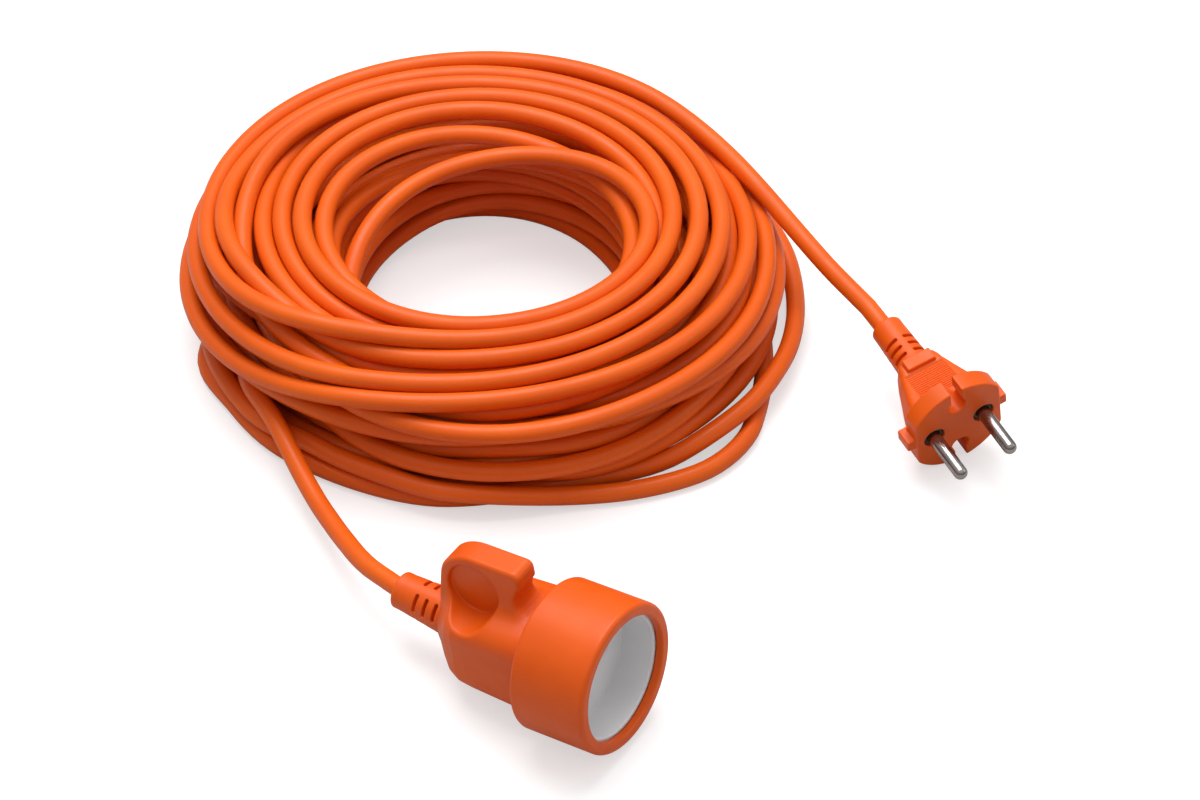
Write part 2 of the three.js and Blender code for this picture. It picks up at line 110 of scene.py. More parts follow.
# The low turn that stands off the coil in front. It passes under the side turn, then climbs.
FRONT_TURN = [
    (0.0702, 0.0655, 0.0034),
    (0.0861, 0.0458, 0.0034),
    (0.0985, 0.0264, 0.0034),
    (0.1064, 0.0079, 0.0034),
    (0.1091, -0.0012, 0.0034),
    (0.1091, -0.0146, 0.0034),
    (0.1048, -0.0267, 0.0034),
    (0.0977, -0.0372, 0.0034),
    (0.0870, -0.0489, 0.0035),
    (0.0756, -0.0594, 0.0045),
    (0.0616, -0.0728, 0.0080),
    (0.0526, -0.0799, 0.0096),
    (0.0370, -0.0874, 0.0100),
    (0.0242, -0.0894, 0.0100),
    (0.0103, -0.0911, 0.0100),
    (-0.0033, -0.0914, 0.0100),
    (-0.0133, -0.0903, 0.0100),
    (-0.0262, -0.0913, 0.0099),
    (-0.0406, -0.0870, 0.0100),
]

# The turns that show, as (radius, height) at the coil's left, back, right and front sides.
OUTER_TURNS = [
    [(0.0825, 0.051), (0.072, 0.051), (0.075, 0.050), (0.071, 0.048)],
    [(0.0887, 0.049), (0.080, 0.049), (0.0826, 0.047), (0.079, 0.045)],
    [(0.0994, 0.036), (0.0955, 0.036), (0.092, 0.040), (0.084, 0.039)],
    [(0.1035, 0.024), (0.0970, 0.026), (0.102, 0.024), (0.087, 0.032)],
]
INNER_TURNS = [
    [(0.040, 0.045), (0.033, 0.045), (0.0575, 0.052), (0.0600, 0.050)],
    [(0.0621, 0.053), (0.0548, 0.053), (0.062, 0.046), (0.066, 0.043)],
    [(0.0763, 0.049), (0.080, 0.042), (0.074, 0.041), (0.058, 0.042)],
]
LAST_TURNS = [
    [(0.0547, 0.051), (0.045, 0.050), (0.052, 0.044), (0.062, 0.043)],
    [(0.0694, 0.051), (0.0637, 0.052), (0.066, 0.051), (0.065, 0.051)],
]
LOWEST_TURN = [(0.083, 0.0034), (0.089, 0.0034), (0.091, 0.0034), (0.076, 0.0034)]
# Where the two loose turns start, at the coil's left and near its back: how far round from the
# left, radius, height, and how firmly the cable is held there.
FRONT_TURN_START = [(0, 0.096, 0.015, 0.3), (0.25, 0.097, 0.014, 0.1)]
SIDE_TURN_START = [(0, 0.090, 0.010, 0.5), (0.23, 0.097, 0.009, 0.2)]
# The top turn's last quarter, before the cable comes down to the plug.
PLUG_TAIL_START = [(0, 0.0945, 0.048, 0.3), (0.25, 0.088, 0.0495, 0.3)]
# How firmly a turn is held to its place: 1 is fast, 0 is free.
HELD_FAST = 1.0
HELD_IN_SIGHT = 0.3
HELD_LOWEST = 0.1
FREE = 0.0

# The hidden turns: (height, number of turns) of each row, and the inner and outer radius of the
# rows at the coil's four sides, at the floor and at FILLING_TOP.
FILLING_ROWS = [
    (0.0034, 3),
    (0.0093, 4),
    (0.0152, 4),
    (0.0211, 5),
    (0.0270, 5),
    (0.0329, 5),
    (0.0388, 3),
]
FILLING_LOW = np.array([(0.047, 0.085), (0.060, 0.095), (0.052, 0.101), (0.062, 0.086)])
FILLING_HIGH = np.array([(0.046, 0.098), (0.046, 0.096), (0.053, 0.098), (0.060, 0.089)])
FILLING_TOP = 0.044
FILLING_LATE = 4  # turns of the filling that are wound after the low loose turns
STRAY_ACROSS = 0.08  # how far a hidden turn strays, as a share of the coil's width
STRAY_UP = 0.003
STRAY_SEED = 3

CABLE_NODES = [
    "cable_coil",
    "cable_tail_socket",
    "cable_tail_plug",
    "cable_turn_side",
    "cable_turn_front",
]

SAMPLES_PER_TURN = 60
SOLVER_STEP = 0.008
SOLVER_PASSES = 900
ENDS = 4  # points at each end of the cable that never move
STIFFNESS = 0.055
STRETCH = 0.25
WEIGHT = 0.000012
FREE_PULL = 0.002  # how much of the way back to its place a free point goes in a pass
HELD_PULL = 0.25
EAGER = 1.5  # how far touching stretches are moved apart, over what would just do
BEVEL_RESOLUTION = 6
INTO_RELIEF = 0.004  # how far from the moulding the cable ends, inside each strain relief

# ---- The coupler socket: +X out of its mouth, and x = 0 at the mouth ----

PIN_SPACING = 0.019
SOCKET_PITCH = math.radians(7)
COLLAR = {"radius": 0.025, "length": 0.027, "front_edge": 0.0017, "rear_edge": 0.0012}
MOUTH = {"lip_radius": 0.0208, "lip_depth": 0.0027, "radius": 0.020, "depth": 0.0145}
INSERT = {"radius": 0.0215, "floor": 0.0032, "entry": 0.0028, "chamber": 0.0038}
INSERT_BLOCK = {"rear": -0.040, "half_width": 0.014, "half_height": 0.0065}
FIT = 0.0003  # the gap round a piece in its pocket
SOCKET_REAR = -0.066
# The rooms behind the insert: the cover's end, where the cores run in, and the cable's bore.
COVER_ROOM_REAR = -0.0434
CORE_ROOM = {"stations": [-0.062, -0.048, -0.042], "half_widths": [0.0045, 0.012, 0.012]}
CORE_ROOM_HALF_HEIGHT = 0.003
CABLE_BORE = {"rear": -0.072, "front": -0.060, "play": 0.0009}
COUNTERSINK = 0.0006  # of the two pin entries
# The grip's section: x, half width and half height. It narrows in a round shoulder to the rear.
GRIP_CORNER = 0.008
GRIP_SECTIONS = [
    (-0.0700, 0.0074, 0.0074),
    (-0.0665, 0.0080, 0.0080),
    (-0.0640, 0.0098, 0.0096),
    (-0.0610, 0.0126, 0.0121),
    (-0.0580, 0.0150, 0.0139),
    (-0.0545, 0.0163, 0.0149),
    (-0.0500, 0.0167, 0.0152),
    (-0.0260, 0.0175, 0.0160),
]
# The finger hook on the coupler's back, and the round recess in each of its sides.
HOOK_BACK = {"x": -0.0506, "z": 0.0178, "radius": 0.0149}
HOOK_TIP = {"front": -0.0332, "neck": -0.0354, "foot": -0.0265}
HOOK_NOSE = 0.0024  # rounding of the tip's upper corner
HOOK_CHIN = {"below_top": 0.0054, "radius": 0.0015}
HOOK_HOLLOW = {"below_top": 0.0075, "bend": 0.0150, "foot": 0.0135}  # heights down the neck
HOOK_BASE = [(-0.0265, 0.006), (-0.0595, 0.004), (-0.0645, 0.0105)]  # inside the grip
HOOK_FLARE = [(0.0140, 0.0064), (0.0250, 0.0053), (0.0332, 0.0047)]  # height, half width
HOOK_EDGE = 0.0014
RECESS = {"x": -0.051, "z": 0.0203, "radius": 0.0095, "web": 0.0037}
COVER_MIDDLE = -0.0416  # along the coupler's axis, of the cover behind the insert

# ---- The plug: +X along its pins, and x = 0 at its face ----

PLUG_YAW = math.radians(-29.4)
PLUG_PITCH = math.radians(6.6)
PLUG_ROLL = math.radians(11.7)
PLUG_DISC = {"radius": 0.0188, "flat": 0.0162, "thickness": 0.007}
PLUG_REAR = -0.0282
# The plug's grip: x, half width and half height of its section.
PLUG_SECTIONS = [
    (-0.0300, 0.0064, 0.0064),
    (-0.0280, 0.0072, 0.0066),
    (-0.0262, 0.0084, 0.0067),
    (-0.0232, 0.0098, 0.0067),
    (-0.0190, 0.0114, 0.0071),
    (-0.0130, 0.0138, 0.0080),
    (-0.0080, 0.0156, 0.0088),
    (-0.0040, 0.0160, 0.0094),
]
# How far the grip's sides lean in, per height over PLUG_UPRIGHT.
PLUG_LEAN = {"stations": [-0.029, -0.024, -0.010], "slopes": [0.0, 0.30, 0.42]}
PLUG_UPRIGHT = 0.0015
PLATFORM = {
    "front": -0.0233,
    "rear": -0.031,
    "half_width": 0.0054,
    "height": 0.0083,
    "middle": 0.004,
}
RIBS = {
    "front": -0.0095,
    "rear": -0.0226,
    "pitch": 0.0009,
    "depth": 0.00035,
    "half_width": 0.0078,
    "fade": 0.0006,
}
KEYHOLE = {"radius": 0.0032, "height": 0.011, "slot": 0.0042, "depth": 0.012}
LUG = {"front": -0.001, "rear": -0.0080, "reach": 0.0192, "half_height": 0.0022}
BRIDGE = {"front": -0.0045, "rear": -0.011, "half_width": 0.0123, "half_height": 0.0044}
BRIDGE_COLLAR = {"radius": 0.0035, "front": -0.0007}
PIN = {"radius": 0.0024, "length": 0.019, "rear": -0.011, "tail_radius": 0.0019, "tail_rear": -0.015}
CRIMP_DEPTH = 0.004  # of the hollow in the pin's tail
CRIMP_RADIUS = 0.00095
PLUG_CORE_ROOM = {"stations": [-0.0264, -0.017, -0.010], "half_widths": [0.0048, 0.0114, 0.0116]}
PLUG_CORE_ROOM_HALF_HEIGHT = 0.0024
PLUG_BORE = {"rear": -0.030, "front": -0.024}
CONDUCTOR_MIDDLE = -0.0136  # along the plug's axis, of the conductors crimped in the pins

# ---- Strain reliefs ----

RELIEF_LENGTH = 0.020
RELIEF_COLLAR = 0.004  # the plain ring behind the slots
RELIEF_SLOT = {"count": 3, "width": 0.0012, "depth": 0.0017, "half_reach": 0.0031}
# Radius at both ends, the first slot's place, the slots' pitch, and how the rows are rolled.
SOCKET_RELIEF = {
    "front": 0.0074,
    "rear": 0.0062,
    "first": -0.0106,
    "pitch": 0.00385,
    "roll": math.radians(-14),
}
PLUG_RELIEF = {"front": 0.0062, "rear": 0.0056, "first": -0.0100, "pitch": 0.0034, "roll": 0.0}

# ---- Grid steps of the moulded pieces ----

SOCKET_STEP = 0.00055
INSERT_STEP = 0.0005
PLUG_STEP = 0.00036
RIB_STEP = 0.00013
BRIDGE_STEP = 0.00035
RELIEF_STEP = 0.00028


# ---- Materials ----


class Nodes:
    """Short calls for making a material's nodes."""

    def __init__(self, name):
        self.material = bpy.data.materials.new(name)
        self.material.use_nodes = True
        self.tree = self.material.node_tree
        self.shader = self.tree.nodes["Principled BSDF"]
        self.place = self.tree.nodes.new("ShaderNodeTexCoord").outputs["Object"]

    def link(self, source, target):
        self.tree.links.new(source, target)

    def set(self, **values):
        for name, value in values.items():
            self.shader.inputs[name.replace("_", " ")].default_value = value

    def noise(self, scale, detail=3.0, stretch=None):
        node = self.tree.nodes.new("ShaderNodeTexNoise")
        node.inputs["Scale"].default_value = scale
        node.inputs["Detail"].default_value = detail
        place = self.place
        if stretch:
            mapping = self.tree.nodes.new("ShaderNodeMapping")
            mapping.inputs["Scale"].default_value = stretch
            self.link(place, mapping.inputs["Vector"])
            place = mapping.outputs["Vector"]
        self.link(place, node.inputs["Vector"])
        return node.outputs["Fac"]

    def between(self, source, low, high, start=0.35, end=0.65):
        """A number from low to high, as the source goes from start to end."""
        node = self.tree.nodes.new("ShaderNodeMapRange")
        self.link(source, node.inputs["Value"])
        node.inputs["From Min"].default_value = start
        node.inputs["From Max"].default_value = end
        node.inputs["To Min"].default_value = low
        node.inputs["To Max"].default_value = high
        return node.outputs["Result"]

    def colours(self, source, *stops):
        """A colour ramp of (position, (red, green, blue)) stops."""
        node = self.tree.nodes.new("ShaderNodeValToRGB")
        ramp = node.color_ramp
        while len(ramp.elements) < len(stops):
            ramp.elements.new(0.5)
        for element, (position, colour) in zip(ramp.elements, stops):
            element.position = position
            element.color = (*colour, 1)
        self.link(source, node.inputs["Fac"])
        return node.outputs["Color"]

    def bumps(self, *layers):
        """Bump from (height, strength, distance) layers, one on another."""
        normal = None
        for height, strength, distance in layers:
            node = self.tree.nodes.new("ShaderNodeBump")
            node.inputs["Strength"].default_value = strength
            node.inputs["Distance"].default_value = distance
            self.link(height, node.inputs["Height"])
            if normal:
                self.link(normal, node.inputs["Normal"])
            normal = node.outputs["Normal"]
        self.link(normal, self.shader.inputs["Normal"])


def plastic(name, dark, light, roughness, grain, sheen=0.4):
    """Moulded plastic: faint cloudy colour, a fine grain, and a gloss that varies a little."""
    nodes = Nodes(name)
    clouds = nodes.noise(45, 4)
    fine = nodes.noise(grain, 3)
    handling = nodes.noise(130, 5)
    nodes.link(nodes.colours(clouds, (0.3, dark), (0.7, light)), nodes.shader.inputs["Base Color"])
    low, high = roughness
    nodes.link(nodes.between(handling, low, high), nodes.shader.inputs["Roughness"])
    nodes.set(Specular_IOR_Level=sheen)
    nodes.bumps((fine, 0.16, 0.00006), (handling, 0.10, 0.00008))
    return nodes.material


def cable_plastic():
    """The cable's softer sheath: a waxy surface with long faint waves from the cores inside."""
    nodes = Nodes("cable sheath")
    clouds = nodes.noise(28, 4)
    waves = nodes.noise(95, 2)
    fine = nodes.noise(1900, 3)
    colour = nodes.colours(clouds, (0.3, (0.71, 0.096, 0.004)), (0.7, (0.78, 0.117, 0.005)))
    nodes.link(colour, nodes.shader.inputs["Base Color"])
    nodes.link(nodes.between(waves, 0.34, 0.45), nodes.shader.inputs["Roughness"])
    nodes.set(Specular_IOR_Level=0.26)
    nodes.bumps((waves, 0.22, 0.0006), (fine, 0.12, 0.00006))
    return nodes.material


def metal(name, dark, light, roughness, turning):
    """Turned or drawn metal, with fine lines along the given stretch of space."""
    nodes = Nodes(name)
    lines = nodes.noise(900, 2, turning)
    wear = nodes.noise(160, 4)
    nodes.link(nodes.colours(wear, (0.3, dark), (0.7, light)), nodes.shader.inputs["Base Color"])
    low, high = roughness
    nodes.link(nodes.between(lines, low, high), nodes.shader.inputs["Roughness"])
    nodes.set(Metallic=1.0)
    nodes.bumps((lines, 0.12, 0.00004))
    return nodes.material


def make_materials():
    return {
        "orange_pvc": plastic(
            "orange moulding", (0.70, 0.086, 0.004), (0.77, 0.104, 0.005), (0.34, 0.46), 2600, 0.25
        ),
        "cable_pvc": cable_plastic(),
        "white_insert": plastic(
            "white insert", (0.76, 0.77, 0.78), (0.82, 0.83, 0.84), (0.34, 0.46), 2200
        ),
        "black_carrier": plastic(
            "black carrier", (0.012, 0.012, 0.013), (0.022, 0.022, 0.024), (0.38, 0.52), 2400
        ),
        "brown_insulation": plastic(
            "brown insulation", (0.11, 0.035, 0.012), (0.15, 0.050, 0.018), (0.36, 0.48), 2000
        ),
        "blue_insulation": plastic(
            "blue insulation", (0.012, 0.09, 0.40), (0.018, 0.12, 0.48), (0.36, 0.48), 2000
        ),
        "nickel_pin": metal(
            "nickel", (0.28, 0.25, 0.235), (0.38, 0.345, 0.325), (0.13, 0.22), (1, 1, 6)
        ),
        "brass_contact": metal(
            "brass", (0.62, 0.43, 0.16), (0.72, 0.52, 0.22), (0.24, 0.36), (1, 5, 5)
        ),
        "copper_strand": metal(
            "copper", (0.70, 0.33, 0.17), (0.80, 0.42, 0.24), (0.22, 0.34), (1, 7, 7)
        ),
    }


# ---- Mesh and curve objects ----


def show(name, data, slot, *replaced):
    """An object of the part: it rides on the one body, in its slot's finish."""
    piece = bpy.data.objects.new(name, data)
    bpy.context.scene.collection.objects.link(piece)
    data.materials.append(materials[slot])
    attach(piece, "root")
    if replaced:
        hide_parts(*replaced)
    return piece


def mesh_of(name, points, faces, normals=None):
    """A smooth mesh from quads or mixed faces, with its own normals if they are given."""
    mesh = bpy.data.meshes.new(name)
    mesh.from_pydata(points, [], faces)
    mesh.validate()
    mesh.shade_smooth()
    if normals is not None:
        mesh.normals_split_custom_set_from_vertices(normals)
    return mesh


# ---- Solid shapes as signed distances: below zero inside. x, y and z are arrays ----


def corner(a, b, radius):
    """What is inside both a and b, with the edge between them rounded."""
    a, b = a + radius, b + radius
    outside = np.hypot(np.maximum(a, 0), np.maximum(b, 0))
    return outside + np.minimum(np.maximum(a, b), 0) - radius


def joined(a, b, blend):
    """Both shapes, with a fillet about as wide as blend where they meet."""
    share = np.maximum(blend - np.abs(a - b), 0) / blend
    return np.minimum(a, b) - share * share * blend / 4


def common(a, b, blend):
    return -joined(-a, -b, blend)


def cut(a, b, blend):
    """Shape a without shape b, with the new edges rounded."""
    return common(a, -b, blend)


def between_planes(value, low, high):
    return np.abs(value - (low + high) / 2) - (high - low) / 2


def round_bar(x, y, z, low, high, radius, edge):
    """A round bar along X."""
    return corner(np.hypot(y, z) - radius, between_planes(x, low, high), edge)


def block(x, y, z, low, high, half_width, half_height, edge):
    side = corner(np.abs(y) - half_width, np.abs(z) - half_height, edge)
    return corner(side, between_planes(x, low, high), edge)


def outline_distance(u, v, outline):
    """Signed distance in a plane to a closed outline of points."""
    nearest = np.full(np.broadcast(u, v).shape, np.inf)
    inside = np.zeros(nearest.shape, bool)
    for (u0, v0), (u1, v1) in zip(outline, np.roll(outline, -1, 0)):
        du, dv = u1 - u0, v1 - v0
        along = np.clip(((u - u0) * du + (v - v0) * dv) / (du * du + dv * dv + 1e-18), 0, 1)
        gap = (u - u0 - along * du) ** 2 + (v - v0 - along * dv) ** 2
        nearest = np.minimum(nearest, gap)
        crosses = (v0 > v) != (v1 > v)
        if dv != 0:
            inside ^= crosses & (u < u0 + (v - v0) * du / dv)
    return np.sqrt(nearest) * np.where(inside, -1, 1)


def spaced(low, high, step):
    return np.linspace(low, high, int(round((high - low) / step)) + 1)


PROJECTIONS = 4  # how often a point is moved onto the skin
LONGEST_MOVE = 0.0004
SLOPE_REACH = 0.00003


def surface(shape, xs, ys, zs):
    """The skin of a shape as quads: one point in each grid cell that the skin crosses, which then
    moves onto the skin. Returns points, faces and normals."""
    values = shape(xs[:, None, None], ys[None, :, None], zs[None, None, :])
    values = np.broadcast_to(values, (len(xs), len(ys), len(zs)))
    strides = np.array([len(ys) * len(zs), len(zs), 1])
    units = np.eye(3, dtype=int)
    owners, places, quads = [], [], []
    for axis in range(3):
        count = values.shape[axis] - 1
        low = np.take(values, range(count), axis)
        high = np.take(values, range(1, count + 1), axis)
        cells = np.argwhere((low < 0) != (high < 0))
        start, end = low[tuple(cells.T)], high[tuple(cells.T)]
        at = cells + units[axis] * (start / (start - end))[:, None]
        one, other = units[(axis + 1) % 3], units[(axis + 2) % 3]
        around = [cells, cells - one, cells - one - other, cells - other]
        quad = np.stack([cell @ strides for cell in around], 1)
        owners.append(quad.ravel())
        places.append(np.repeat(at, 4, 0))
        quads.append(np.where((start < 0)[:, None], quad, quad[:, ::-1]))
    used, index = np.unique(np.concatenate(owners), return_inverse=True)
    places = np.concatenate(places)
    shares = np.bincount(index)
    grid = np.stack([np.bincount(index, places[:, i]) / shares for i in range(3)], 1)
    ticks = [np.interp(grid[:, i], range(len(axis)), axis) for i, axis in enumerate((xs, ys, zs))]
    points = np.stack(ticks, 1)
    faces = np.searchsorted(used, np.concatenate(quads))
    for _ in range(PROJECTIONS):
        value, slope = distance_and_slope(shape, points)
        points -= np.clip(value, -LONGEST_MOVE, LONGEST_MOVE)[:, None] * slope
    normals = distance_and_slope(shape, points)[1]
    return points, faces, normals


def distance_and_slope(shape, points):
    """The shape's value at points, over the steepness, and the unit direction out of the shape."""
    reach = SLOPE_REACH
    x, y, z = points.T
    value = shape(x, y, z)
    slope = np.stack(
        [
            shape(x + reach, y, z) - shape(x - reach, y, z),
            shape(x, y + reach, z) - shape(x, y - reach, z),
            shape(x, y, z + reach) - shape(x, y, z - reach),
        ],
        1,
    )
    slope /= 2 * reach
    steepness = np.maximum(np.linalg.norm(slope, axis=1), 0.2)
    return value / steepness, slope / steepness[:, None]


def moulded(name, shape, grid, place, slot, *replaced):
    """A piece whose shape is given in its own frame, put in its place."""
    points, faces, normals = surface(shape, *grid)
    turn = np.array(place.to_3x3())
    points = points @ turn.T + np.array(place.translation)
    mesh = mesh_of(name, points, faces, normals @ turn.T)
    return show(name, mesh, slot, *replaced)


def turned(name, profile, place, slot, *replaced, sides=64):
    """A body of revolution round X, from [x, radius] pairs that start and end on the axis."""
    rings = profile[1:-1]
    angles = np.arange(sides) * TAU / sides
    points = [(x, r * math.cos(a), r * math.sin(a)) for x, r in rings for a in angles]
    points += [(profile[0][0], 0, 0), (profile[-1][0], 0, 0)]
    first, last = len(points) - 2, len(points) - 1
    faces = []
    for i in range(sides):
        j = (i + 1) % sides
        for ring in range(len(rings) - 1):
            a, b = ring * sides, (ring + 1) * sides
            faces.append((a + i, b + i, b + j, a + j))
        end = (len(rings) - 1) * sides
        faces += [(first, i, j), (last, end + j, end + i)]
    points = [place @ Vector(p) for p in points]
    mesh = mesh_of(name, points, faces)
    mesh.set_sharp_from_angle(angle=math.radians(40))
    return show(name, mesh, slot, *replaced)


# ---- Places, from the frame ----


def box_middle(*nodes):
    corners = [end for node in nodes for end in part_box(node)]
    return sum(corners, Vector()) / len(corners)


def socket_place():
    """The coupler's own frame. The insert's cover is square to its axis, so its middle is on it."""
    turn = Matrix.Rotation(-SOCKET_PITCH, 4, "Y")
    mouth = box_middle("socket_insert_cover") - turn @ Vector((COVER_MIDDLE, 0, 0))
    return Matrix.Translation(mouth) @ turn


def plug_place():
    """The plug's own frame. The two conductors lie alike on both sides of its axis."""
    turn = (
        Matrix.Rotation(PLUG_YAW, 4, "Z")
        @ Matrix.Rotation(PLUG_PITCH, 4, "Y")
        @ Matrix.Rotation(PLUG_ROLL, 4, "X")
    )
    middle = box_middle("plug_conductor_brown", "plug_conductor_blue")
    return Matrix.Translation(middle - turn @ Vector((CONDUCTOR_MIDDLE, 0, 0))) @ turn


def socket_relief_place():
    low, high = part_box("socket_strain_relief")
    return Matrix.Translation(Vector((high.x, (low.y + high.y) / 2, (low.z + high.z) / 2)))


def coil_middle():
    middle = box_middle("cable_coil")
    return Vector((middle.x - COIL_SHIFT[0], middle.y - COIL_SHIFT[1], 0))


# ---- The cable's route ----


def polar(points, first_turn):
    """Points as (turn, radius, height). Turns count clockwise from above, from the coil's left."""
    knots = []
    for x, y, z in points:
        turn = (math.pi + VIEW_AZIMUTH - math.atan2(y, x)) / TAU % 1 + first_turn
        while knots and turn < knots[-1][0] - 0.5:
            turn += 1
        knots.append((turn, math.hypot(x, y), z))
    return knots


def filling():
    """The hidden turns. Each strays a little from its place in its row."""
    rng = np.random.default_rng(STRAY_SEED)
    turns = []
    for row, (height, count) in enumerate(FILLING_ROWS):
        sides = FILLING_LOW + (FILLING_HIGH - FILLING_LOW) * min(height / FILLING_TOP, 1)
        columns = [(i + 0.15 + 0.3 * (row % 2)) / (count - 0.4) for i in range(count)]
        for column in columns if row % 2 == 0 else columns[::-1]:
            turn = []
            for inner, outer in sides:
                across = min(max(column + rng.normal(0, STRAY_ACROSS), 0), 1)
                up = max(height + rng.normal(0, STRAY_UP), CABLE_RADIUS)
                turn.append((inner + (outer - inner) * across, up))
            turns.append(turn)
    return turns


def winding(socket_exit, plug_exit):
    """The whole cable as (turn, radius, height, hold), from the coupler to the plug. Hold says how
    firmly the cable keeps to that place: 1 along the loose runs, 0 inside the coil."""
    knots = []
    hidden = filling()
    for turn, radius, height in polar([socket_exit, *SOCKET_TAIL], 0):
        knots.append((turn - 1 if turn > 0.5 else turn, radius, height, HELD_FAST))

    def wind(turns, first, hold):
        for count, sides in enumerate(turns):
            for quarter, (radius, height) in enumerate(sides):
                knots.append((first + count + quarter / 4, radius, height, hold))
        return first + len(turns)

    def lay(start, route, first):
        knots.extend((first + round_by, *rest) for round_by, *rest in start)
        knots.extend((*knot, HELD_FAST) for knot in polar(route, first))

    turn = wind(hidden[FILLING_LATE:], 0, FREE)
    turn = wind(OUTER_TURNS, turn, HELD_IN_SIGHT)
    lay(FRONT_TURN_START, FRONT_TURN, turn)
    lay(SIDE_TURN_START, SIDE_TURN, turn + 1)
    turn = wind([LOWEST_TURN], turn + 2, HELD_LOWEST)
    turn = wind(hidden[:FILLING_LATE], turn, FREE)
    turn = wind(INNER_TURNS + LAST_TURNS, turn, HELD_IN_SIGHT)
    lay(PLUG_TAIL_START, [*PLUG_TAIL, plug_exit], turn)
    return np.array(knots)


def through(knots):
    """Points along a smooth curve through the knots, and how firmly each is held."""
    turns = knots[:, 0]
    at = np.arange(turns[0], turns[-1], 1 / SAMPLES_PER_TURN)
    span = np.diff(turns)
    left = np.clip(np.searchsorted(turns, at, side="right") - 1, 0, len(turns) - 2)
    width = span[left]
    s = (at - turns[left]) / width
    smooth = []
    for value in (knots[:, 1], knots[:, 2]):
        rise = np.diff(value) / span
        slope = np.concatenate([rise[:1], np.zeros(len(value) - 2), rise[-1:]])
        slope[1:-1] = (rise[:-1] * span[1:] + rise[1:] * span[:-1]) / (span[1:] + span[:-1])
        smooth.append(
            (2 * s**3 - 3 * s**2 + 1) * value[left]
            + (s**3 - 2 * s**2 + s) * width * slope[left]
            + (3 * s**2 - 2 * s**3) * value[left + 1]
            + (s**3 - s**2) * width * slope[left + 1]
        )
    radius, height = smooth
    azimuth = math.pi + VIEW_AZIMUTH - TAU * at
    across = [radius * np.cos(azimuth), radius * np.sin(azimuth)]
    points = np.stack([*across, np.maximum(height, CABLE_RADIUS)], 1)
    return points, np.interp(at, turns, knots[:, 3])


def evenly(points, hold, step):
    lengths = np.linalg.norm(np.diff(points, axis=0), axis=1)
    along = np.concatenate([[0], np.cumsum(lengths)])
    at = np.linspace(0, along[-1], int(round(along[-1] / step)) + 1)
    even = np.stack([np.interp(at, along, points[:, i]) for i in range(3)], 1)
    return even, np.interp(at, along, hold)


def near_pairs(points, reach):
    """Pairs of stretches of the cable that are close in space, though not along the cable."""
    found = []
    square = (points**2).sum(1)
    for start in range(0, len(points), 512):
        rows = points[start : start + 512]
        apart = square[start : start + 512, None] + square - 2 * rows @ points.T
        i, j = np.nonzero(apart < reach * reach)
        keep = (j > i + start + 3) & (j < len(points) - 1)
        found.append(np.stack([i[keep] + start, j[keep]], 1))
    return np.concatenate(found)


def push_apart(points, pairs, freedom):
    """Moves stretches of cable that lie in each other until they only touch."""
    i, j = pairs.T
    u, v = points[i + 1] - points[i], points[j + 1] - points[j]
    between = points[i] - points[j]
    uu, uv, vv = (u * u).sum(1), (u * v).sum(1), (v * v).sum(1)
    ub, vb = (u * between).sum(1), (v * between).sum(1)
    s = np.clip((uv * vb - vv * ub) / np.maximum(uu * vv - uv * uv, 1e-15), 0, 1)
    t = np.clip((uv * s + vb) / vv, 0, 1)
    s = np.clip((uv * t - ub) / uu, 0, 1)
    apart = between + u * s[:, None] - v * t[:, None]
    gap = np.linalg.norm(apart, axis=1)
    touch = gap < CABLE_DIAMETER
    i, j, s, t, apart, gap = i[touch], j[touch], s[touch], t[touch], apart[touch], gap[touch]
    push = apart * ((CABLE_DIAMETER - gap) / np.maximum(gap, 1e-9) / 2)[:, None]
    move = np.zeros_like(points)
    share = np.zeros(len(points))
    for index, weight, sign in ((i, 1 - s, 1), (i + 1, s, 1), (j, 1 - t, -1), (j + 1, t, -1)):
        np.add.at(move, index, sign * push * weight[:, None])
        np.add.at(share, index, weight)
    return points + EAGER * move / np.maximum(share, 1)[:, None] * freedom


def settle(points, hold, passes):
    """Lets the wound cable find its place: stiff, under its own weight, on the floor, and nowhere
    inside itself. What is held stays by its route."""
    target = points.copy()
    freedom = np.where(hold > 0.95, 0.03, 1.0)[:, None]
    rest = np.linalg.norm(np.diff(points, axis=0), axis=1)
    for step in range(passes):
        if step % 12 == 0:
            pairs = near_pairs(points, SOLVER_STEP + CABLE_DIAMETER + 0.003)
        fade = 1 - step / passes
        for _ in range(3):
            bend = points[:-4] - 4 * points[1:-3] + 6 * points[2:-2] - 4 * points[3:-1] + points[4:]
            points[2:-2] -= bend * STIFFNESS * freedom[2:-2]
        pull = (FREE_PULL + HELD_PULL * hold) * (0.3 + 0.7 * fade)
        if fade < 0.25:
            pull = pull * (hold > 0.9)
        points += (target - points) * pull[:, None]
        points[:, 2:] -= WEIGHT * fade * freedom
        points = push_apart(points, pairs, freedom)
        links = np.diff(points, axis=0)
        lengths = np.linalg.norm(links, axis=1)
        give = ((lengths - rest) / lengths * STRETCH)[:, None] * links
        points[:-1] += give * freedom[:-1]
        points[1:] -= give * freedom[1:]
        points[:, 2] = np.maximum(points[:, 2], CABLE_RADIUS)
        points[:ENDS] = target[:ENDS]
        points[-ENDS:] = target[-ENDS:]
    return points


def rounded_off(points):
    """Twice as many points, on a smooth curve through the given ones."""
    ends = [2 * points[:1] - points[1:2], points, 2 * points[-1:] - points[-2:-1]]
    a = np.concatenate(ends)
    middles = (9 * (a[1:-2] + a[2:-1]) - a[:-3] - a[3:]) / 16
    fine = np.empty((2 * len(points) - 1, 3))
    fine[::2] = points
    fine[1::2] = middles
    return fine


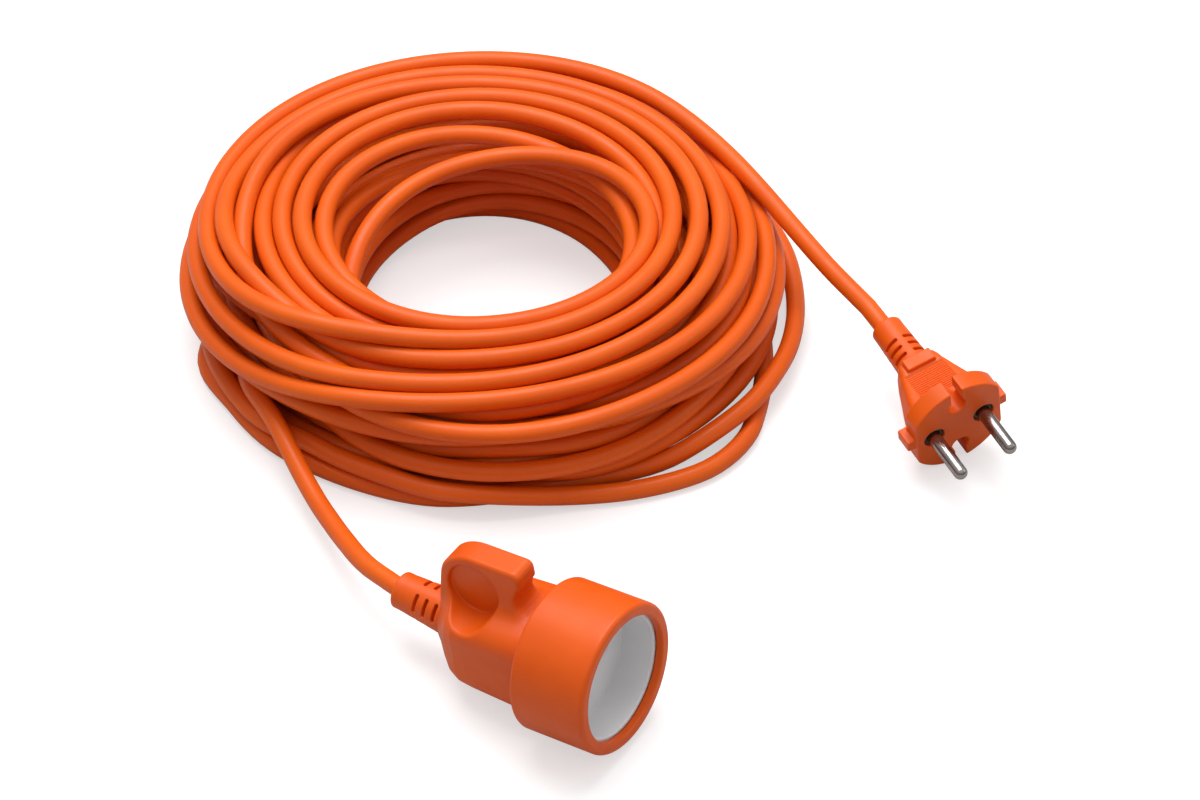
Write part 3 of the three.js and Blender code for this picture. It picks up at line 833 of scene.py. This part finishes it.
def make_cable():
    middle = coil_middle()
    relief_low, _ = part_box("socket_strain_relief")
    relief = socket_relief_place().translation
    socket_exit = Vector((relief_low.x, relief.y, relief.z))
    plug_exit = plug_place() @ Vector((PLUG_REAR - FIT - RELIEF_LENGTH, 0, 0))
    knots = winding(socket_exit - middle, plug_exit - middle)
    points, hold = evenly(*through(knots), SOLVER_STEP)
    points = settle(points, hold, SOLVER_PASSES)
    route = rounded_off(points) + np.array(middle)
    # It runs on into both strain reliefs.
    inside_socket = relief + Vector((-INTO_RELIEF, 0, 0))
    inside_plug = plug_place() @ Vector((PLUG_REAR - INTO_RELIEF, 0, 0))
    route = np.concatenate([[inside_socket], route, [inside_plug]])

    curve = bpy.data.curves.new("cable", "CURVE")
    curve.dimensions = "3D"
    curve.bevel_depth = CABLE_RADIUS
    curve.bevel_resolution = BEVEL_RESOLUTION
    curve.use_fill_caps = True
    line = curve.splines.new("POLY")
    line.points.add(len(route) - 1)
    flat = np.concatenate([route, np.ones((len(route), 1))], 1).ravel()
    line.points.foreach_set("co", flat.astype(np.float32))
    return show("cable", curve, "cable_pvc", *CABLE_NODES), socket_exit


# ---- Strain reliefs ----


def relief_shape(sizes):
    """A tapered sleeve that ends in a plain ring, with short cross slots in four rows."""

    def shape(x, y, z):
        around = np.hypot(y, z)
        taper = np.clip(-(x + 0.001) / (RELIEF_LENGTH - RELIEF_COLLAR), 0, 1)
        outer = sizes["front"] + (sizes["rear"] - sizes["front"]) * taper
        sleeve = corner(around - outer, between_planes(x, -RELIEF_LENGTH, 0.0015), 0.0009)
        roll = math.pi / 4 - sizes["roll"]
        one = y * math.cos(roll) + z * math.sin(roll)
        other = z * math.cos(roll) - y * math.sin(roll)
        diagonals = [(one, other), (other, one)]
        for out, across in diagonals:
            floor = sizes["rear"] - RELIEF_SLOT["depth"] + 0.25 * (outer - sizes["rear"])
            deep = floor - np.abs(out)
            for i in range(RELIEF_SLOT["count"]):
                middle = sizes["first"] + i * sizes["pitch"]
                narrow = np.abs(x - middle) - RELIEF_SLOT["width"] / 2
                pocket = corner(np.abs(across) - RELIEF_SLOT["half_reach"], narrow, 0.0005)
                slot = common(pocket, deep, 0.0004)
                sleeve = cut(sleeve, slot, 0.0004)
        bore = CABLE_RADIUS + 0.0001 - around
        return common(sleeve, bore, 0.0005)

    return shape


def make_relief(name, sizes, place, replaced):
    reach = sizes["front"] + 0.0006
    xs = spaced(-RELIEF_LENGTH - 0.0006, 0.0021, RELIEF_STEP)
    across = spaced(-reach, reach, RELIEF_STEP)
    grid = (xs, across, across)
    return moulded(name, relief_shape(sizes), grid, place, "orange_pvc", replaced)


# ---- The coupler socket ----


def arc(x, z, radius, start, end, count):
    angles = np.radians(np.linspace(start, end, count))
    return [(x + radius * math.cos(a), z + radius * math.sin(a)) for a in angles]


def hook_outline():
    """The side view of the finger hook: a round back, a blunt tip, and a hollow neck in front."""
    back = HOOK_BACK
    top = back["z"] + back["radius"]
    front, neck, foot = HOOK_TIP.values()
    chin = HOOK_CHIN["radius"]
    tip = arc(front - HOOK_NOSE, top - HOOK_NOSE, HOOK_NOSE, 90, 0, 7)
    under = arc(front - chin, top - HOOK_CHIN["below_top"], chin, 0, -60, 4)
    heights = (top - HOOK_HOLLOW["below_top"], HOOK_HOLLOW["bend"], HOOK_HOLLOW["foot"])
    hollow = []
    for s in np.linspace(0.15, 1, 9):
        shares = ((1 - s) ** 2, 2 * s * (1 - s), s * s)
        hollow.append((np.dot(shares, (neck, neck, foot)), np.dot(shares, heights)))
    rear = arc(back["x"], back["z"], back["radius"], 180, 90, 16)
    return np.array(tip + under + hollow + HOOK_BASE + rear)


HOOK_OUTLINE = hook_outline()


def grip_shape(x, y, z, sections, edge):
    """A rounded rectangle whose size changes along X, as its sections say."""
    stations, widths, heights = np.array(sections).T
    wide, high = np.interp(x, stations, widths), np.interp(x, stations, heights)
    rounding = np.minimum(edge, np.minimum(wide, high) * 0.98)
    return corner(np.abs(y) - wide, np.abs(z) - high, rounding)


def socket_cavity(x, y, z):
    """The room in the moulding for the insert, its cover, the cores and the cable's end."""
    back = -MOUTH["depth"] - INSERT["floor"] - FIT
    pocket = round_bar(x, y, z, back, -MOUTH["lip_depth"], INSERT["radius"] + FIT, 0.0002)
    mouth = round_bar(x, y, z, -MOUTH["lip_depth"] - 0.002, 0.004, MOUTH["lip_radius"], 0.0001)
    half_width, half_height = INSERT_BLOCK["half_width"] + FIT, INSERT_BLOCK["half_height"] + FIT
    room = block(x, y, z, COVER_ROOM_REAR, back + 0.001, half_width, half_height, 0.0005)
    stations, half_widths = CORE_ROOM.values()
    narrowing = np.interp(x, stations, half_widths)
    cores = corner(np.abs(y) - narrowing, np.abs(z) - CORE_ROOM_HALF_HEIGHT, 0.0005)
    cores = corner(cores, between_planes(x, stations[0], stations[-1]), 0.0005)
    bore_radius = CABLE_RADIUS + CABLE_BORE["play"]
    bore = round_bar(x, y, z, CABLE_BORE["rear"], CABLE_BORE["front"], bore_radius, 0.0002)
    return np.minimum.reduce(np.broadcast_arrays(pocket, mouth, room, cores, bore))


def socket_shape(x, y, z):
    length = COLLAR["length"]
    around = np.hypot(y, z) - COLLAR["radius"]
    front = corner(around, x, COLLAR["front_edge"])
    collar = common(front, corner(around, -x - length, COLLAR["rear_edge"]), 0.0001)
    grip = grip_shape(x, y, z, GRIP_SECTIONS, GRIP_CORNER)
    grip = common(grip, between_planes(x, -0.071, -0.020), 0.0005)
    side = outline_distance(x, z, HOOK_OUTLINE)
    half_width = np.interp(z, *np.array(HOOK_FLARE).T)
    hook = corner(side, np.abs(y) - half_width, HOOK_EDGE)
    recess = np.hypot(x - RECESS["x"], z - RECESS["z"]) - RECESS["radius"]
    recess = corner(recess, RECESS["web"] - np.abs(y), 0.0005)
    body = joined(grip, hook, 0.0060)
    body = cut(body, recess, 0.0010)
    body = joined(body, collar, 0.0009)
    behind = -(x - SOCKET_REAR) * math.cos(SOCKET_PITCH) + z * math.sin(SOCKET_PITCH)
    body = common(body, behind, 0.0008)
    return cut(body, socket_cavity(x, y, z), 0.0007)


def insert_shape(x, y, z):
    """The cup in the mouth, its floor with the two entries, and the block that holds the contacts."""
    back = -MOUTH["depth"] - INSERT["floor"]
    cup = round_bar(x, y, z, back, -MOUTH["lip_depth"] - FIT, INSERT["radius"], 0.0004)
    recess = round_bar(x, y, z, -MOUTH["depth"], 0.004, MOUTH["radius"], 0.0003)
    body = cut(cup, recess, 0.0004)
    rear, half_width, half_height = INSERT_BLOCK.values()
    body = joined(body, block(x, y, z, rear, back + 0.001, half_width, half_height, 0.0006), 0.0005)
    pin_away = np.hypot(np.abs(y) - PIN_SPACING / 2, z)
    countersink = np.clip(x + MOUTH["depth"] + COUNTERSINK, 0, COUNTERSINK)
    entry = pin_away - INSERT["entry"] - countersink
    chamber = corner(pin_away - INSERT["chamber"], x - back, 0.0003)
    body = cut(body, entry, 0.0003)
    return cut(body, chamber, 0.0004)


def make_socket():
    place = socket_place()
    xs = spaced(-0.0700, 0.0012, SOCKET_STEP)
    ys = spaced(-0.0256, 0.0256, SOCKET_STEP)
    zs = spaced(-0.0256, 0.0346, SOCKET_STEP)
    moulded("socket_moulding", socket_shape, (xs, ys, zs), place, "orange_pvc", "socket_body")
    relief_place = socket_relief_place()
    make_relief("socket_bend_relief", SOCKET_RELIEF, relief_place, "socket_strain_relief")
    xs = spaced(INSERT_BLOCK["rear"] - 0.001, -0.002, INSERT_STEP)
    across = spaced(-0.0222, 0.0222, INSERT_STEP)
    grid = (xs, across, across)
    moulded("socket_mouth_insert", insert_shape, grid, place, "white_insert", "socket_insert")


# ---- The plug ----


def plug_grip(x, y, z):
    """The grip behind the plug's face: it narrows to the rear, with sloping sides and a flat top."""
    stations, widths, heights = np.array(PLUG_SECTIONS).T
    wide, high = np.interp(x, stations, widths), np.interp(x, stations, heights)
    lean = np.interp(x, *PLUG_LEAN.values())
    side = np.abs(y) - wide + lean * np.maximum(np.abs(z) - PLUG_UPRIGHT, 0)
    top = np.abs(z) - high
    ribbed = (x > RIBS["rear"]) & (x < RIBS["front"]) & (np.abs(y) < RIBS["half_width"]) & (z > 0)
    wave = 0.5 + 0.5 * np.cos(TAU * (x - RIBS["rear"]) / RIBS["pitch"])
    fade = np.clip((RIBS["half_width"] - np.abs(y)) / RIBS["fade"], 0, 1)
    top = top + np.where(ribbed, RIBS["depth"] * wave * fade, 0)
    section = common(side, top, 0.0022)
    return common(section, between_planes(x, PLUG_REAR, -0.003), 0.0006)


def keyholes(x, y, z):
    """A round pocket above and one below the middle, each with a slot out to the edge."""
    pocket = np.hypot(y, np.abs(z) - KEYHOLE["height"]) - KEYHOLE["radius"]
    slot = np.maximum(np.abs(y) - KEYHOLE["slot"] / 2, KEYHOLE["height"] - np.abs(z))
    return corner(joined(pocket, slot, 0.0006), -x - KEYHOLE["depth"], 0.0005)


def plug_cavity(x, y, z):
    """The room for the pins' carrier, their tails, the cores and the cable's end."""
    half_width, half_height = BRIDGE["half_width"] + FIT, BRIDGE["half_height"] + FIT
    room = block(x, y, z, BRIDGE["rear"] - FIT, BRIDGE["front"] + FIT, half_width, half_height, 0.0004)
    pin_away = np.hypot(np.abs(y) - PIN_SPACING / 2, z)
    collars = corner(pin_away - BRIDGE_COLLAR["radius"] - FIT, between_planes(x, -0.006, 0.003), 0.0002)
    stations, half_widths = PLUG_CORE_ROOM.values()
    narrowing = np.interp(x, stations, half_widths)
    cores = corner(np.abs(y) - narrowing, np.abs(z) - PLUG_CORE_ROOM_HALF_HEIGHT, 0.0004)
    cores = corner(cores, between_planes(x, stations[0], stations[-1]), 0.0004)
    bore = round_bar(x, y, z, PLUG_BORE["rear"], PLUG_BORE["front"], CABLE_RADIUS + FIT, 0.0002)
    return np.minimum.reduce(np.broadcast_arrays(room, collars, cores, bore))


def plug_shape(x, y, z):
    disc = PLUG_DISC
    outline = corner(np.hypot(y, z) - disc["radius"], np.abs(y) - disc["flat"], 0.0006)
    plate = corner(outline, between_planes(x, -disc["thickness"], 0), 0.0006)
    rear, front, half_width = PLATFORM["rear"], PLATFORM["front"], PLATFORM["half_width"]
    half_height = PLATFORM["height"] - PLATFORM["middle"]
    above = z - PLATFORM["middle"]
    platform = block(x, y, above, rear, front, half_width, half_height, 0.0006)
    platform = common(platform, -x + PLUG_REAR, 0.0005)
    lug = corner(
        corner(np.abs(y) - LUG["reach"], np.abs(z) - LUG["half_height"], 0.0006),
        between_planes(x, LUG["rear"], LUG["front"]),
        0.0006,
    )
    lug = common(lug, disc["flat"] - 0.003 - np.abs(y), 0.0002)
    body = joined(plug_grip(x, y, z), platform, 0.0005)
    body = joined(body, plate, 0.0010)
    body = joined(body, lug, 0.0007)
    body = cut(body, keyholes(x, y, z), 0.0005)
    return cut(body, plug_cavity(x, y, z), 0.0004)


def bridge_shape(x, y, z):
    rear, front = BRIDGE["rear"], BRIDGE["front"]
    body = block(x, y, z, rear, front, BRIDGE["half_width"], BRIDGE["half_height"], 0.0005)
    pin_away = np.hypot(np.abs(y) - PIN_SPACING / 2, z)
    planes = between_planes(x, front - 0.001, BRIDGE_COLLAR["front"])
    body = joined(body, corner(pin_away - BRIDGE_COLLAR["radius"], planes, 0.0003), 0.0003)
    return cut(body, pin_away - PIN["radius"] - 0.0001, 0.0002)


def pin_profile():
    """A turned pin with a domed tip. Its thinner tail behind the carrier takes the conductor."""
    radius, length, rear = PIN["radius"], PIN["length"], PIN["rear"]
    tail_radius, tail_rear = PIN["tail_radius"], PIN["tail_rear"]
    dome = [
        (length - radius * (1 - math.sin(a)), radius * math.cos(a))
        for a in np.linspace(0.08, 1.45, 9)
    ]
    shoulder = 0.0003
    return [
        (tail_rear + CRIMP_DEPTH, 0),
        (tail_rear + CRIMP_DEPTH, CRIMP_RADIUS),
        (tail_rear, CRIMP_RADIUS),
        (tail_rear, tail_radius),
        (rear - shoulder, tail_radius),
        (rear, radius - shoulder),
        (rear + shoulder, radius),
        *dome,
        (length, 0),
    ]


def make_plug():
    place = plug_place()
    front = spaced(-0.0092, 0.0009, PLUG_STEP)
    ribs = spaced(-0.0232, -0.0092, RIB_STEP)[:-1]
    rear = spaced(-0.0292, -0.0232, PLUG_STEP)[:-1]
    xs = np.concatenate([rear, ribs, front])
    ys = spaced(-0.0198, 0.0198, PLUG_STEP)
    zs = spaced(-0.0195, 0.0195, PLUG_STEP)
    body = moulded("plug_moulding", plug_shape, (xs, ys, zs), place, "orange_pvc", "plug_body")
    relief_place = place @ Matrix.Translation(Vector((PLUG_REAR - FIT, 0, 0)))
    relief = make_relief("plug_bend_relief", PLUG_RELIEF, relief_place, "plug_strain_relief")
    xs = spaced(BRIDGE["rear"] - 0.0006, 0.0002, BRIDGE_STEP)
    ys = spaced(-0.0136, 0.0136, BRIDGE_STEP)
    zs = spaced(-0.0054, 0.0054, BRIDGE_STEP)
    grid = (xs, ys, zs)
    bridge = moulded("plug_pin_carrier", bridge_shape, grid, place, "black_carrier", "plug_bridge")
    pieces = [body, relief, bridge]
    for side, sign in (("left", 1), ("right", -1)):
        name = f"plug_contact_pin_{side}"
        pin_place = place @ Matrix.Translation(Vector((0, sign * PIN_SPACING / 2, 0)))
        pin = turned(name, pin_profile(), pin_place, "nickel_pin", f"plug_pin_{side}")
        pieces.append(pin)
    return pieces


# ---- The pieces inside, which keep their CAD shape ----

INNER_SLOTS = {
    "socket_insert_cover": "white_insert",
    "socket_contact_left": "brass_contact",
    "socket_contact_right": "brass_contact",
    "socket_core_brown": "brown_insulation",
    "socket_core_blue": "blue_insulation",
    "plug_core_brown": "brown_insulation",
    "plug_core_blue": "blue_insulation",
    "socket_conductor_brown": "copper_strand",
    "socket_conductor_blue": "copper_strand",
    "plug_conductor_brown": "copper_strand",
    "plug_conductor_blue": "copper_strand",
}


def finish_inner_pieces():
    for node, slot in INNER_SLOTS.items():
        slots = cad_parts[node].material_slots
        for material_slot in slots:
            material_slot.material = materials[slot]


# ---- Floor, lights and camera ----


FLOOR_RADIUS = 4.0
FLOOR_SIDES = 96
FLOOR_GLOW = 0.55  # the floor is lit through for the camera, as a light table is
SKY_STRENGTH = 0.78
SKY_HORIZON = (0.05, 0.14)  # up to this height of the direction, the sky is this grey
SKY_BRIGHT_FROM = 0.80
BACKGROUND = 0.93
# Place as the camera sees it (right, away, up), size and power.
SOFTBOX = ((-0.10, 0.35, 1.30), 1.0, 18)
SIDE_FILL = ((1.3, 0.1, 0.6), 0.7, 1.2)
LIT_POINT = (0, 0, 0.02)


def grey(value):
    return (value, value, value)


def make_floor():
    angles = np.arange(FLOOR_SIDES) * TAU / FLOOR_SIDES
    points = [(FLOOR_RADIUS * math.cos(a), FLOOR_RADIUS * math.sin(a), 0) for a in angles]
    floor = bpy.data.objects.new("floor", mesh_of("floor", points, [tuple(range(FLOOR_SIDES))]))
    bpy.context.scene.collection.objects.link(floor)
    nodes = Nodes("pale floor")
    clouds = nodes.noise(3, 2)
    shade = nodes.colours(clouds, (0.3, grey(0.52)), (0.7, grey(0.54)))
    nodes.link(shade, nodes.shader.inputs["Base Color"])
    path = nodes.tree.nodes.new("ShaderNodeLightPath")
    glow = nodes.between(path.outputs["Is Camera Ray"], 0.0, FLOOR_GLOW, 0.0, 1.0)
    nodes.link(glow, nodes.shader.inputs["Emission Strength"])
    nodes.set(Roughness=0.9, Specular_IOR_Level=0.1, Emission_Color=(1, 1, 1, 1))
    floor.data.materials.append(nodes.material)


def make_world():
    """A bright ceiling that grows dimmer to the horizon. The camera itself sees plain near-white."""
    world = bpy.data.worlds.new("studio")
    bpy.context.scene.world = world
    world.use_nodes = True
    tree = world.node_tree
    sky = tree.nodes["Background"]
    place = tree.nodes.new("ShaderNodeTexCoord")
    split = tree.nodes.new("ShaderNodeSeparateXYZ")
    ramp = tree.nodes.new("ShaderNodeValToRGB")
    tree.links.new(place.outputs["Generated"], split.inputs["Vector"])
    tree.links.new(split.outputs["Z"], ramp.inputs["Fac"])
    elements = ramp.color_ramp.elements
    elements[0].position, horizon = SKY_HORIZON
    elements[0].color = (*grey(horizon), 1)
    elements[1].position = SKY_BRIGHT_FROM
    elements[1].color = (*grey(1.0), 1)
    tree.links.new(ramp.outputs["Color"], sky.inputs["Color"])
    sky.inputs["Strength"].default_value = SKY_STRENGTH
    plain = tree.nodes.new("ShaderNodeBackground")
    plain.inputs["Color"].default_value = (*grey(BACKGROUND), 1)
    chooser = tree.nodes.new("ShaderNodeMixShader")
    path = tree.nodes.new("ShaderNodeLightPath")
    tree.links.new(path.outputs["Is Camera Ray"], chooser.inputs["Fac"])
    tree.links.new(sky.outputs["Background"], chooser.inputs[1])
    tree.links.new(plain.outputs["Background"], chooser.inputs[2])
    tree.links.new(chooser.outputs["Shader"], tree.nodes["World Output"].inputs["Surface"])


def make_light(name, place, size, power):
    light = bpy.data.lights.new(name, "AREA")
    light.size = size
    light.energy = power
    lamp = bpy.data.objects.new(name, light)
    bpy.context.scene.collection.objects.link(lamp)
    lamp.location = Matrix.Rotation(VIEW_AZIMUTH, 3, "Z") @ Vector(place)
    lamp.rotation_euler = (Vector(LIT_POINT) - lamp.location).to_track_quat("-Z", "Y").to_euler()


def make_camera():
    turn = Matrix.Rotation(VIEW_AZIMUTH, 3, "Z")
    target = coil_middle() + turn @ Vector(CAMERA_TARGET)
    back = turn @ Vector((0, -math.cos(VIEW_TILT), math.sin(VIEW_TILT)))
    camera = bpy.data.cameras.new("camera")
    camera.lens = CAMERA_LENS
    camera.sensor_width = SENSOR_WIDTH
    holder = bpy.data.objects.new("camera", camera)
    bpy.context.scene.collection.objects.link(holder)
    holder.location = target + back * CAMERA_DISTANCE
    holder.rotation_euler = back.to_track_quat("Z", "Y").to_euler()
    bpy.context.scene.camera = holder


def make_studio():
    make_floor()
    make_world()
    make_light("overhead softbox", *SOFTBOX)
    make_light("side fill", *SIDE_FILL)
    bpy.context.scene.view_settings.view_transform = "Standard"
    make_camera()


# ---- The whole scene ----

materials = make_materials()
make_studio()
cable, socket_exit = make_cable()
make_socket()
plug_pieces = make_plug()
finish_inner_pieces()
